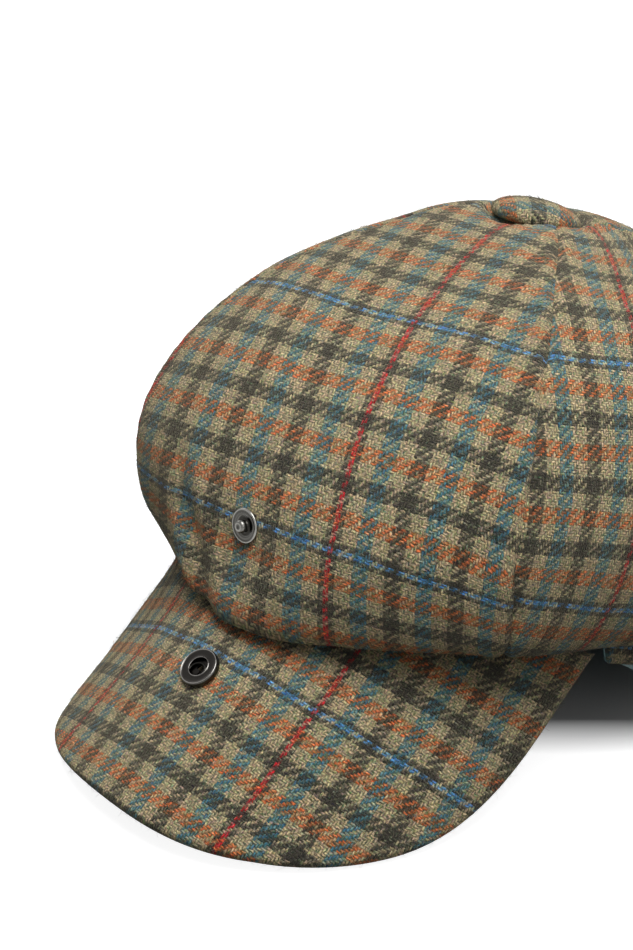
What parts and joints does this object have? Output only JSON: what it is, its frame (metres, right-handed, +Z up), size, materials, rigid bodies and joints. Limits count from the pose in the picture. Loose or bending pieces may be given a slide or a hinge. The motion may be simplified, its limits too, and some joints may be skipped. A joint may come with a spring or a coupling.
{
  "type": "newsboy cap",
  "caption": "Full-crowned newsboy cap in check tweed, with a covered top button, a satin lining and a stiffened peak that snaps to the front of the crown.",
  "frame": {"origin": "middle of the cap's footprint, on the surface that it stands on", "axes": "+Z up, -Y towards the peak, +X towards the wearer's left; the head opening leans back on its rear edge as the cap stands"},
  "size_m": [0.2038, 0.294, 0.1552],
  "materials": {
    "tweed": "fuzzy wool twill in a multicolour check of cream, olive black, rust and teal",
    "satin": "smooth teal satin",
    "board": "matt stiffening board, hidden in the peak",
    "gunmetal": "satin gunmetal plating",
    "steel": "satin nickel grey",
    "thread": "dark waxed thread"
  },
  "bodies": {
    "crown": {"crown_panel_front": "tweed", "crown_panel_left": "tweed", "crown_panel_back": "tweed", "crown_panel_right": "tweed", "lining_panel_front": "satin", "lining_panel_left": "satin", "lining_panel_back": "satin", "lining_panel_right": "satin", "crown_snap_patch": "tweed", "crown_snap_stud": "steel", "crown_snap_post": "gunmetal", "headband": "tweed", "sweatband": "satin", "button_cover": "tweed", "button_shell": "steel", "button_back": "steel", "button_tie": "thread"},
    "peak": {"peak_top_cover": "tweed", "peak_under_cover": "tweed", "peak_board": "board", "peak_snap_socket": "gunmetal", "peak_snap_post": "gunmetal", "peak_snap_spring": "steel"}
  },
  "joints": [
    {"name": "peak_flex", "type": "hinge", "parent": "crown", "child": "peak", "pos_m": [0, -0.06041, 0.05938], "axis": [-1, 0, 0], "range_deg": [-3, 3], "stiffness_Nm_per_rad": 6}
  ]
}
